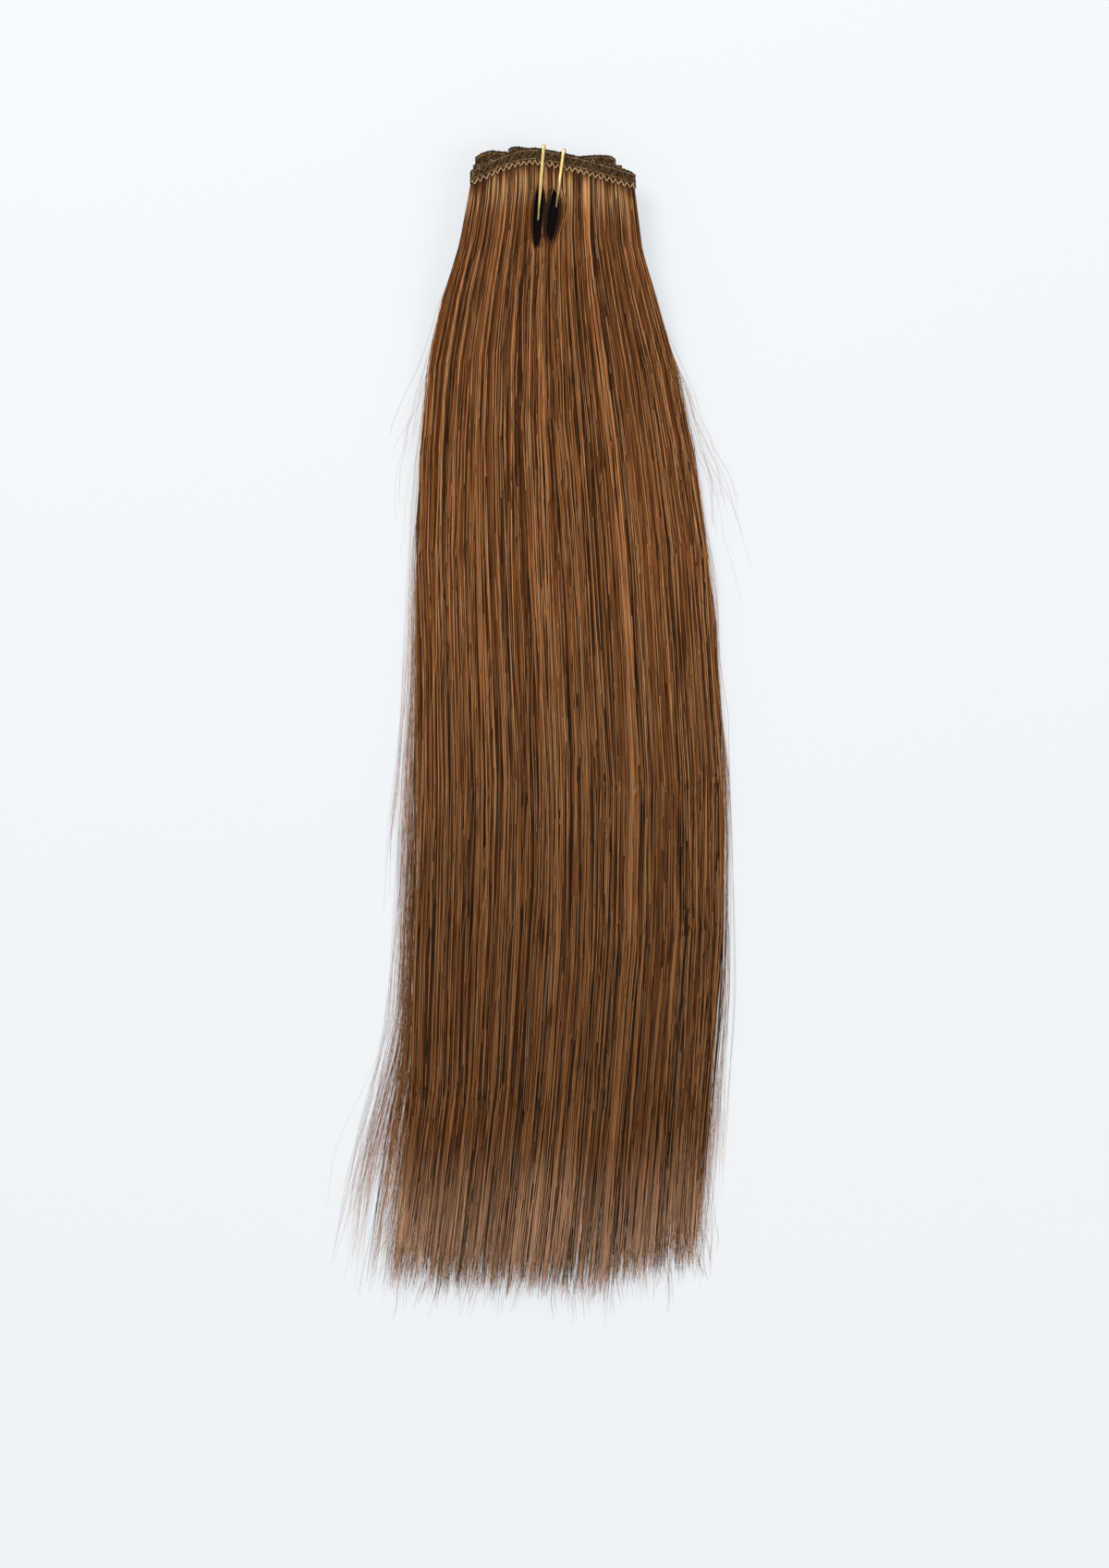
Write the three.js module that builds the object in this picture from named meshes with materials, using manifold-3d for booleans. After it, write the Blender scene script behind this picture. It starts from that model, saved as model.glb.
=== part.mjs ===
// A clip in hair extension laid flat. Four sewn wefts of straight hair lie on each other, each band folded
// once at its right end, with a gilt hair pin round the stack and two snap clips sewn behind the back weft.
// Units are millimetres: +X is right, +Y runs from the tips up to the wefts, and +Z is up from the surface.
// While it is built, x = 0 is the middle of the stack and y = 0 the top edge of the highest weft.
import * as THREE from "three";
import { mergeVertices } from "three/addons/utils/BufferGeometryUtils.js";
import Module from "manifold-3d";

const wasm = await Module();
wasm.setup();

// Driving dimensions
const hairLength = 508; // from the highest weft's top edge to the longest tips
const stackWidth = 72; // across the front weft
const leftReach = 64; // from the stack's middle to the widest hair on the left
const rightReach = 77.5; // and on the right
const clearance = 0.3; // between neighbouring pieces

const bandHeight = 6.6; // a sewn band, seen from the front
const bandWall = 1; // one layer of the folded band
const foldGap = 1.6; // room between the two layers of a band
const rootThickness = 1; // the hair where it is sewn in between the layers
const rootDepth = 5.2; // how far the hair reaches up between the layers
const rootOverlap = 2; // how far the root runs down into the locks

const wireDiameter = 1.6; // the hair pin's gilt wire
const pinTipDiameter = 0.6;
const pinTaperLength = 20;
const pinSpread = 9; // between the pin's legs where they cross the top edge
const pinOffset = 0.8; // from the stack's middle to the pin's
const pinBackLength = 15; // how far down the legs run behind the stack
const pinDive = 3.8; // how deep the tips go into the hair

const clipThickness = 2;
const clipLength = 20;
const clipDepth = 9;
const combThickness = 0.9;
const barDepth = 3;
const toothCount = 6;
const toothWidth = 1.6;
const sewingHoleRadius = 0.7;
const clipFromPin = 1; // between a clip's end and the pin's leg beside it

// What follows from them
const weftThickness = 2 * bandWall + foldGap;
const layerPitch = weftThickness + clearance;
const standOff = Math.max(clipThickness, wireDiameter) + clearance; // under the back weft
const wireRadius = wireDiameter / 2;
const hollowDepth = pinDive + wireDiameter;

// The wefts from the back one up. Ends and peak are shares of the stack's width from its middle. Top, counted
// down from the stack's top edge, and the drops at the ends are shares of the band's height.
const wefts = [
  { name: "back", left: -0.46, right: 0.385, peak: 0.27, top: 0.52, leftDrop: 1, rightDrop: 0.06 },
  { name: "third", left: -0.27, right: 0.34, peak: -0.23, top: 0, leftDrop: 0.05, rightDrop: 1.65 },
  { name: "second", left: -0.47, right: 0.455, peak: -0.38, top: 0.35, leftDrop: 0.3, rightDrop: 1.68 },
  { name: "front", left: -0.5, right: 0.505, peak: -0.146, top: 0.18, leftDrop: 1.5, rightDrop: 1.7 },
];
const archPower = 1.3; // how sharply a band's arch bends, from 1 for two straight flanks to 2 for a parabola
const stackHeight = wefts.length * layerPitch;

// Sections of the whole fall of hair. down is a share of the hair's length, and height one of the stack's.
// The spreads say how far each edge has moved from the stack's edge to its widest reach. crown says how much
// lower the edges are than the middle, and lift how much of the stand-off is left under the hair.
const fallSections = [
  { down: 0, leftSpread: 0, rightSpread: 0, height: 1, crown: 0, lift: 1 },
  { down: 0.045, leftSpread: 0.03, rightSpread: 0.02, height: 1, crown: 0, lift: 1 },
  { down: 0.075, leftSpread: 0.15, rightSpread: 0.07, height: 1, crown: 0.05, lift: 1 },
  { down: 0.11, leftSpread: 0.28, rightSpread: 0.14, height: 0.96, crown: 0.16, lift: 0.65 },
  { down: 0.145, leftSpread: 0.49, rightSpread: 0.27, height: 0.9, crown: 0.26, lift: 0.22 },
  { down: 0.19, leftSpread: 0.68, rightSpread: 0.46, height: 0.84, crown: 0.36, lift: 0 },
  { down: 0.27, leftSpread: 0.82, rightSpread: 0.66, height: 0.77, crown: 0.45, lift: 0 },
  { down: 0.38, leftSpread: 0.94, rightSpread: 0.86, height: 0.71, crown: 0.5, lift: 0 },
  { down: 0.55, leftSpread: 1, rightSpread: 1, height: 0.65, crown: 0.54, lift: 0 },
  { down: 0.74, leftSpread: 1.1, rightSpread: 0.95, height: 0.58, crown: 0.54, lift: 0 },
  { down: 0.9, leftSpread: 1.26, rightSpread: 0.79, height: 0.47, crown: 0.52, lift: 0 },
  { down: 1, leftSpread: 1.3, rightSpread: 0.5, height: 0.34, crown: 0.45, lift: 0 },
];

// The locks of one weft's hair from left to right. reach is a share of the hair's length, full a share of the
// weft's thickness, width how much of the lock's width is left at its tip, and splay how far the tip swings
// out, as a share of the lock's width.
const locks = [
  { reach: 0.982, full: 0.9, width: 0.3, splay: -0.1 },
  { reach: 0.995, full: 1, width: 0.36, splay: 0.06 },
  { reach: 0.972, full: 0.86, width: 0.26, splay: -0.05 },
  { reach: 0.99, full: 0.97, width: 0.4, splay: 0.08 },
  { reach: 1, full: 0.88, width: 0.3, splay: -0.06 },
  { reach: 0.978, full: 1, width: 0.34, splay: 0.02 },
  { reach: 0.952, full: 0.92, width: 0.3, splay: -0.2 },
];
const lockOverlap = 0.45; // how much wider a lock is than the spacing between locks, as a share of it
const lockSides = 6;
const tipTaper = 0.06; // share of the hair's length over which a lock narrows to its tip
const tipThickness = 0.55; // share of a lock's thickness that is left at its tip
const settle = 0.1; // share of the hair's length in which a weft's own edges meet the common ones

// The thin lock that strays from the left edge, from one share of the hair's length to another.
// Its swing and width are shares of the left reach, and its thickness one of the weft's.
const strayLock = { from: 0.7, reach: 0.992, swing: 0.235, width: 0.235, thickness: 0.28 };

// The pin's legs and the hollows where their tips part the hair. entry, tip and hollowEnd are shares of the
// hair's length: where the leg starts to sink in, and the two ends. A leg's lean over its length and the
// hollow's shift are shares of the pin's spread, and the hollow's width is a multiple of the wire's diameter.
const pinLegs = [
  { side: -1, lean: -0.31, entry: 0.042, tip: 0.07, hollowEnd: 0.088, hollowShift: -0.03, hollowWidth: 3 },
  { side: 1, lean: -0.44, entry: 0.033, tip: 0.06, hollowEnd: 0.082, hollowShift: -0.06, hollowWidth: 3.8 },
];

function mix(a, b, share) {
  return a + (b - a) * share;
}

function smooth(share) {
  const s = THREE.MathUtils.clamp(share, 0, 1);
  return s * s * (3 - 2 * s);
}

// One column of the fall's sections at a share of the hair's length.
function fall(column, down) {
  const last = fallSections.length - 1;
  let i = fallSections.findIndex((section) => section.down >= down);
  if (i < 1) i = i === 0 ? 1 : last;
  const [above, below] = [fallSections[i - 1], fallSections[i]];
  const share = THREE.MathUtils.clamp((down - above.down) / (below.down - above.down), 0, 1);
  return mix(above[column], below[column], share);
}

// The left or right edge of one weft's hair.
function hairEdge(weft, side, down) {
  const reach = side < 0 ? leftReach : rightReach;
  const spread = fall(side < 0 ? "leftSpread" : "rightSpread", down);
  const common = side * mix(stackWidth / 2, reach, spread);
  const own = (side < 0 ? weft.left : weft.right) * stackWidth;
  return mix(own, common, smooth(down / settle));
}

// The height of the surface under layer `level` of the fall: 0 is its underside, and wefts.length its top.
function layerHeight(level, x, down) {
  const edge = hairEdge(wefts[0], Math.sign(x) || 1, down);
  const across = Math.min(1, Math.abs(x / edge));
  const lens = 1 - fall("crown", down) * across * across;
  return standOff * fall("lift", down) + (stackHeight * fall("height", down) * lens * level) / wefts.length;
}

// The lower edge of a weft's band, a shallow arch. Past the band's ends it runs on.
function bandEdge(weft, x) {
  const peak = weft.peak * stackWidth;
  const end = (x < peak ? weft.left : weft.right) * stackWidth;
  const drop = (x < peak ? weft.leftDrop : weft.rightDrop) * bandHeight;
  const share = (x - peak) / (end - peak);
  return -(weft.top + 1) * bandHeight - drop * share ** archPower;
}

// A closed form whose box of steps x 1 x 1 cells is moved by place(along, up, out), each from 0 to 1.
function bentBox(steps, place) {
  const box = new THREE.BoxGeometry(1, 1, 1, steps, 1, 1);
  return moved(box, (p) => place(p.x + 0.5, p.y + 0.5, p.z + 0.5));
}

// A closed form whose rings are moved by place(along, angle, out), with out 0 in the middle of its end caps.
function skin(sides, rings, place) {
  const tube = new THREE.CylinderGeometry(1, 1, 1, sides, rings);
  return moved(tube, (p) => place(0.5 - p.y, Math.atan2(p.x, p.z), Math.round(Math.hypot(p.x, p.z))));
}

function moved(geometry, place) {
  const positions = geometry.getAttribute("position");
  const point = new THREE.Vector3();
  for (let i = 0; i < positions.count; i++) {
    point.fromBufferAttribute(positions, i);
    positions.setXYZ(i, ...place(point));
  }
  return bare(geometry);
}

// The geometry with its shared corners merged.
function bare(geometry) {
  const welded = geometry.clone();
  welded.deleteAttribute("normal");
  welded.deleteAttribute("uv");
  return mergeVertices(welded, 1e-4);
}

function toSolid(geometry) {
  const mesh = new wasm.Mesh({
    numProp: 3,
    vertProperties: geometry.getAttribute("position").array,
    triVerts: new Uint32Array(geometry.index.array),
  });
  const solid = new wasm.Manifold(mesh);
  if (solid.volume() > 0) return solid;
  for (let i = 0; i < mesh.triVerts.length; i += 3) {
    [mesh.triVerts[i + 1], mesh.triVerts[i + 2]] = [mesh.triVerts[i + 2], mesh.triVerts[i + 1]];
  }
  return new wasm.Manifold(mesh);
}

function toGeometry(solid) {
  const mesh = solid.getMesh();
  const geometry = new THREE.BufferGeometry();
  geometry.setAttribute("position", new THREE.BufferAttribute(mesh.vertProperties, mesh.numProp));
  geometry.setIndex(new THREE.BufferAttribute(mesh.triVerts, 1));
  geometry.computeVertexNormals();
  return geometry;
}

// A sewn band: one strip whose front layer turns back on itself round a fold at the right end.
function makeBand(weft, level) {
  const [left, right] = [weft.left * stackWidth, weft.right * stackWidth];
  const foldRadius = (foldGap + bandWall) / 2;
  const middle = layerHeight(level, 0, 0) + clearance / 2 + weftThickness / 2;
  const straightSteps = 10;
  const foldSteps = 6;
  const steps = 2 * straightSteps + foldSteps;
  const foldStart = right - foldRadius - bandWall / 2;
  return bentBox(steps, (along, up, out) => {
    const step = Math.round(along * steps);
    const turn = THREE.MathUtils.clamp((step - straightSteps) / foldSteps, 0, 1) * Math.PI;
    const run = Math.min(step, steps - step) / straightSteps;
    const radius = foldRadius + (out - 0.5) * bandWall;
    const x = mix(left, foldStart, Math.min(1, run)) + Math.sin(turn) * radius;
    const y = bandEdge(weft, x) + up * bandHeight;
    return [x, y, middle + Math.cos(turn) * radius];
  });
}

// The strip of hair that is sewn in between a band's two layers.
function makeRoot(weft, level) {
  const inset = bandWall + foldGap + clearance;
  const [left, right] = [weft.left * stackWidth + bandWall, weft.right * stackWidth - inset];
  const middle = layerHeight(level, 0, 0) + clearance / 2 + weftThickness / 2;
  return bentBox(10, (along, up, out) => {
    const x = mix(left, right, along);
    const y = bandEdge(weft, x) + mix(-rootOverlap, rootDepth, up);
    return [x, y, middle + (out - 0.5) * rootThickness];
  });
}

// 1 for the upper corners of a lock's section, 0 for the lower ones and 0.5 for its two side corners.
function sideOf(angle) {
  return 0.5 + Math.sign(Math.round(Math.sin(angle) * 10)) / 2;
}

// One lock, from the top of the stack to its tip. middle and width are shares of the hair between its edges.
function makeLock(weft, level, lock, middle, width) {
  const taperStart = lock.reach - tipTaper;
  const rows = fallSections.map((section) => section.down).filter((down) => down < taperStart - tipTaper / 2);
  const stations = [...rows, taperStart, mix(taperStart, lock.reach, 0.6), lock.reach];
  return skin(lockSides, stations.length - 1, (along, angle, out) => {
    const down = stations[Math.round(along * (stations.length - 1))];
    const tip = smooth((down - taperStart) / tipTaper);
    const [left, right] = [hairEdge(weft, -1, down), hairEdge(weft, 1, down)];
    const halfWidth = ((right - left) * width) / 2;
    const swing = lock.splay * 2 * halfWidth * tip;
    const reachAcross = halfWidth * mix(1, lock.width, tip) * out;
    const centre = THREE.MathUtils.clamp(mix(left, right, middle), left + halfWidth, right - halfWidth);
    const x = centre + swing + Math.cos(angle) * reachAcross;
    const low = layerHeight(level, x, down) + (level > 0 ? clearance / 2 : 0);
    const roof = layerHeight(level + 1, x, down) - clearance / 2;
    const high = mix(low, roof, mix(1, lock.full, smooth(down / settle)));
    const rise = mix(0.5, sideOf(angle), mix(1, tipThickness, tip) * out);
    return [x, -down * hairLength, mix(low, high, rise)];
  });
}

// The thin lock that strays outwards from the left edge of the back weft's hair.
function makeStray(weft) {
  const rings = 6;
  const { from, reach, swing, width, thickness } = strayLock;
  return skin(lockSides, rings, (along, angle, out) => {
    const down = mix(from, reach, along);
    const fullWidth = width * leftReach;
    const halfWidth = (fullWidth / 2) * Math.sin(Math.PI * mix(0.25, 0.9, along)) * out;
    const drift = fullWidth * mix(0.65, 0.15, along) - swing * leftReach * along * along;
    const centre = hairEdge(weft, -1, down) + drift;
    const rise = mix(0.5, sideOf(angle), out);
    return [centre + Math.cos(angle) * halfWidth, -down * hairLength, thickness * weftThickness * rise];
  });
}

// Everything above a band's lower edge and the clearance under it, which the locks leave free.
function aboveBand(weft, level) {
  const low = layerHeight(level, 0, 0) - clearance;
  const high = low + layerPitch + 2 * clearance;
  const beyond = stackWidth / 4;
  return bentBox(16, (along, up, out) => {
    const x = mix(weft.left * stackWidth - beyond, weft.right * stackWidth + beyond, along);
    const y = up > 0.5 ? 2 * bandHeight : bandEdge(weft, x) - clearance;
    return [x, y, mix(low, high, out)];
  });
}

// A pin leg's place in x at a height y on the front of the stack.
function legX(leg, y) {
  return pinOffset + pinSpread * (leg.side / 2 - (leg.lean * y) / (leg.tip * hairLength));
}

// The almond-shaped hollow round one of the pin's tips.
function makeHollow(leg) {
  const rings = 8;
  const start = leg.entry * hairLength - 2 * wireDiameter;
  const end = leg.hollowEnd * hairLength;
  const top = layerHeight(wefts.length, 0, 0);
  return toSolid(
    skin(10, rings, (along, angle, out) => {
      const y = -mix(start, end, along);
      const bulge = Math.sin(Math.PI * mix(0.15, 0.9, along));
      const halfWidth = (leg.hollowWidth * wireDiameter * bulge * out) / 2;
      const x = legX(leg, y) + leg.hollowShift * pinSpread * smooth(along) + Math.cos(angle) * halfWidth;
      return [x, y, top + Math.sin(angle) * out * hollowDepth * Math.sqrt(bulge)];
    }),
  );
}

const hollows = pinLegs.map(makeHollow);

// All the hair of one weft: its locks and its sewn-in root as one solid.
function makeHair(weft, level) {
  const spacing = 1 / locks.length;
  let hair = locks
    .map((lock, i) => {
      const shuffled = locks[(i + 2 * level) % locks.length];
      const shape = level === wefts.length - 1 || i === locks.length - 1 ? lock : shuffled;
      return toSolid(makeLock(weft, level, shape, (i + 0.5) * spacing, spacing * (1 + lockOverlap)));
    })
    .reduce((all, lock) => all.add(lock));
  if (level === 0) hair = hair.add(toSolid(makeStray(weft)));
  hair = hair.subtract(toSolid(aboveBand(weft, level))).add(toSolid(makeRoot(weft, level)));
  return hollows.reduce((rest, hollow) => rest.subtract(hollow), hair);
}

// The highest of the bands' top edges at x.
function highestEdge(x) {
  const tops = wefts
    .filter((weft) => x > weft.left * stackWidth && x < weft.right * stackWidth)
    .map((weft) => bandEdge(weft, x) + bandHeight);
  return Math.max(...tops);
}

// Points on a quarter turn of the wire, just clear of the edge that it bends round.
function quarterBend(edge, from, to, steps = 4) {
  return Array.from({ length: steps + 1 }, (_, i) => {
    const turn = ((i / steps) * Math.PI) / 2;
    const offset = from.clone().multiplyScalar(Math.cos(turn)).addScaledVector(to, Math.sin(turn));
    return edge.clone().addScaledVector(offset, wireRadius + clearance);
  });
}

// The centre line of one leg, from its tip in the hair over the top edge to its end behind the stack.
function legPath(leg) {
  const up = new THREE.Vector3(0, 1, 0);
  const forward = new THREE.Vector3(0, 0, 1);
  const backward = new THREE.Vector3(0, 0, -1);
  const x = pinOffset + (leg.side * pinSpread) / 2;
  const edge = highestEdge(x);
  const frontZ = standOff + stackHeight - clearance / 2;
  const wireFront = frontZ + wireRadius + clearance;
  const wireBack = standOff - clearance - wireRadius;
  const onFront = (y, depth = 0) => new THREE.Vector3(legX(leg, y), y, wireFront - depth);
  const entry = -leg.entry * hairLength;
  const tip = -leg.tip * hairLength;
  return [
    onFront(tip, pinDive),
    onFront(mix(entry, tip, 0.66), pinDive * 0.72),
    onFront(mix(entry, tip, 0.33), pinDive * 0.26),
    onFront(entry),
    onFront(entry / 2),
    ...quarterBend(new THREE.Vector3(x, edge, frontZ), forward, up),
    ...quarterBend(new THREE.Vector3(x, edge, wireBack + wireRadius + clearance), up, backward),
    new THREE.Vector3(x, -pinBackLength / 2, wireBack),
  ];
}

// The hair pin: one wire from tip to tip, with its round bend behind the stack.
function makePin() {
  const [leftPath, rightPath] = pinLegs.map(legPath);
  const back = leftPath.at(-1).z;
  const bendSteps = 8;
  const bend = Array.from({ length: bendSteps + 1 }, (_, i) => {
    const turn = (i / bendSteps) * Math.PI;
    const x = pinOffset - (Math.cos(turn) * pinSpread) / 2;
    return new THREE.Vector3(x, -pinBackLength - (Math.sin(turn) * pinSpread) / 2, back);
  });
  const points = [...leftPath, ...bend, ...rightPath.toReversed()];
  return wire(points, (fromEnd) => mix(pinTipDiameter / 2, wireRadius, smooth(fromEnd / pinTaperLength)));
}

// A round wire along points, with its radius given by the distance from the nearer end.
function wire(points, radiusAt) {
  const lengths = points.map(() => 0);
  for (let i = 1; i < points.length; i++) lengths[i] = lengths[i - 1] + points[i].distanceTo(points[i - 1]);
  const side = new THREE.Vector3();
  const frames = points.map((point, i) => {
    const ahead = points[Math.min(i + 1, points.length - 1)];
    const behind = points[Math.max(i - 1, 0)];
    const along = ahead.clone().sub(behind).normalize();
    if (i === 0) side.set(1, 0, 0);
    side.addScaledVector(along, -side.dot(along)).normalize();
    return { point, side: side.clone(), up: along.clone().cross(side) };
  });
  const last = points.length - 1;
  return skin(8, last, (along, angle, out) => {
    const i = Math.round(along * last);
    const radius = radiusAt(Math.min(lengths[i], lengths[last] - lengths[i])) * out;
    const { point, side: across, up } = frames[i];
    return point
      .clone()
      .addScaledVector(across, Math.cos(angle) * radius)
      .addScaledVector(up, Math.sin(angle) * radius)
      .toArray();
  });
}

// A snap clip, closed: a comb plate with a thicker bar along its sewn edge.
function makeClip() {
  const gapWidth = (clipLength - toothCount * toothWidth) / (toothCount - 1);
  const end = clipLength / 2;
  const toothEnd = toothWidth / 2 - clipDepth;
  const comb = new THREE.Shape();
  comb.moveTo(-end, -barDepth / 2);
  for (let i = 0; i < toothCount; i++) {
    const x = i * (toothWidth + gapWidth) - end;
    comb.lineTo(x, -barDepth);
    comb.absarc(x + toothWidth / 2, toothEnd, toothWidth / 2, Math.PI, 2 * Math.PI);
    comb.lineTo(x + toothWidth, -barDepth);
  }
  comb.lineTo(end, -barDepth / 2);
  const round = barDepth / 2;
  const bar = new THREE.Shape();
  bar.absarc(round - end, -round, round, Math.PI / 2, (3 * Math.PI) / 2);
  bar.absarc(end - round, -round, round, -Math.PI / 2, Math.PI / 2);
  const clip = extruded(bar, clipThickness).add(extruded(comb, combThickness));
  const sewingHole = (side) => {
    const hole = new THREE.Shape();
    hole.absarc(side * (end - round), -round, sewingHoleRadius, 0, 2 * Math.PI);
    return extruded(hole, 3 * clipThickness, -clipThickness);
  };
  return toGeometry(clip.subtract(sewingHole(-1)).subtract(sewingHole(1)));
}

function extruded(shape, depth, from = 0) {
  const plate = new THREE.ExtrudeGeometry(shape, { depth, bevelEnabled: false, curveSegments: 3 });
  return toSolid(bare(plate.translate(0, 0, from)));
}

const finishes = {
  hair: new THREE.MeshStandardMaterial({ color: 0x8a5a38, roughness: 0.45, metalness: 0 }),
  band: new THREE.MeshStandardMaterial({ color: 0x5e4529, roughness: 0.85, metalness: 0 }),
  gilt: new THREE.MeshStandardMaterial({ color: 0xd9b765, roughness: 0.25, metalness: 1 }),
  clip: new THREE.MeshStandardMaterial({ color: 0x3a2618, roughness: 0.5, metalness: 0.6 }),
};

function addMesh(parent, name, geometry, material) {
  const mesh = new THREE.Mesh(geometry, material);
  mesh.name = name;
  parent.add(mesh);
  return mesh;
}

function buildExtension() {
  const pieces = new THREE.Group();
  wefts.forEach((weft, level) => {
    addMesh(pieces, `${weft.name}_band`, toGeometry(toSolid(makeBand(weft, level))), finishes.band);
    addMesh(pieces, `${weft.name}_hair`, toGeometry(makeHair(weft, level)), finishes.hair);
  });
  addMesh(pieces, "hair_pin", toGeometry(toSolid(makePin())), finishes.gilt);
  for (const [name, side] of [["left_clip", -1], ["right_clip", 1]]) {
    const clip = addMesh(pieces, name, makeClip(), finishes.clip);
    const x = pinOffset + side * (pinSpread / 2 + wireRadius + clipFromPin + clipLength / 2);
    const [edgeLeft, edgeRight] = [-0.5, 0.5].map((end) => bandEdge(wefts[0], x + end * clipLength));
    clip.rotation.z = Math.atan((edgeRight - edgeLeft) / clipLength);
    clip.position.set(x, (edgeLeft + edgeRight) / 2 + bandHeight, 0);
  }
  // The part's origin is under the middle of everything, on the surface that it lies on.
  const bounds = new THREE.Box3().setFromObject(pieces, true);
  const middle = bounds.getCenter(new THREE.Vector3());
  pieces.position.set(-middle.x, -middle.y, -bounds.min.z);
  return new THREE.Group().add(pieces);
}

export default buildExtension();
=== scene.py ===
import math

import bmesh
import bpy
import numpy as np
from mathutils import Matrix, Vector
from mathutils.bvhtree import BVHTree


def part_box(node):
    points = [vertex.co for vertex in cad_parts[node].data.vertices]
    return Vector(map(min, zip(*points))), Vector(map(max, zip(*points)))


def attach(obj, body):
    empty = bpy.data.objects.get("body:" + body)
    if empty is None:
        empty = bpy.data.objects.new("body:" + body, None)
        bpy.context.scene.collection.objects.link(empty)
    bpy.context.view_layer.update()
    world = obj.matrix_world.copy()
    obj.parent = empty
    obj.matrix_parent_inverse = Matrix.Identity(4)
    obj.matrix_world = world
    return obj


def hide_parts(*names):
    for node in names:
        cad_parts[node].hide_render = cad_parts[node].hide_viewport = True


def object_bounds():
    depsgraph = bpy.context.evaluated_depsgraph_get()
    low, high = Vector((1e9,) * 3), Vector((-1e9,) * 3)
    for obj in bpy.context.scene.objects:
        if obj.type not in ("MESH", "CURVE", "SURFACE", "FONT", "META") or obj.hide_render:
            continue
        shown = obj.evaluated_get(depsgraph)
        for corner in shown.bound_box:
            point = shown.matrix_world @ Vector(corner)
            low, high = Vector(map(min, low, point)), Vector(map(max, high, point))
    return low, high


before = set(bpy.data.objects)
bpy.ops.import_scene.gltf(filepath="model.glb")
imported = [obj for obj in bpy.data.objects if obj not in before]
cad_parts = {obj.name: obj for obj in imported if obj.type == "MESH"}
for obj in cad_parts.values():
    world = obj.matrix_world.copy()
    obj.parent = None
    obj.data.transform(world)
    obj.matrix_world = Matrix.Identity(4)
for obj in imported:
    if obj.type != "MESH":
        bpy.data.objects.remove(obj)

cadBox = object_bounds()
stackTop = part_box("third_band")[1].y    # the top edge of the highest band

def newObject(name, data):
    made = bpy.data.objects.new(name, data)
    bpy.context.scene.collection.objects.link(made)
    return made

# The camera first: straight above, at the photo's scale
shot = {
    "photoWidth": 1200,
    "photoHeight": 1697,
    "metresPerPixel": 0.405e-3,
    "stackTopRow": 157,      # the photo's row at the top edge of the highest band
    "widestColumn": 789,     # and its column at the widest hair on the right
    "height": 2.4,
    "scaleHeight": 14e-3,    # above the floor, where the scale holds
}

def addCamera():
    scale = shot["metresPerPixel"]
    x = cadBox[1].x + (shot["photoWidth"] / 2 - shot["widestColumn"]) * scale
    y = stackTop - (shot["photoHeight"] / 2 - shot["stackTopRow"]) * scale
    camera = bpy.data.cameras.new("camera")
    camera.sensor_fit = "VERTICAL"
    far = shot["height"] - shot["scaleHeight"]
    camera.lens = camera.sensor_height * far / (shot["photoHeight"] * scale)
    holder = newObject("camera", camera)
    holder.location = (x, y, shot["height"])
    bpy.context.scene.camera = holder

addCamera()
print("camera done")

# Small helpers for node trees: a Value is an output that sums and products can use
def sumOf(operation, swapped=False):
    def work(self, other):
        pair = (other, self) if swapped else (self, other)
        return self.net.maths(operation, *pair)
    return work

class Value:
    def __init__(self, net, socket):
        self.net = net
        self.socket = socket

    __add__ = sumOf("ADD")
    __radd__ = sumOf("ADD", True)
    __sub__ = sumOf("SUBTRACT")
    __rsub__ = sumOf("SUBTRACT", True)
    __mul__ = sumOf("MULTIPLY")
    __rmul__ = sumOf("MULTIPLY", True)
    __truediv__ = sumOf("DIVIDE")
    __pow__ = sumOf("POWER")

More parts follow.
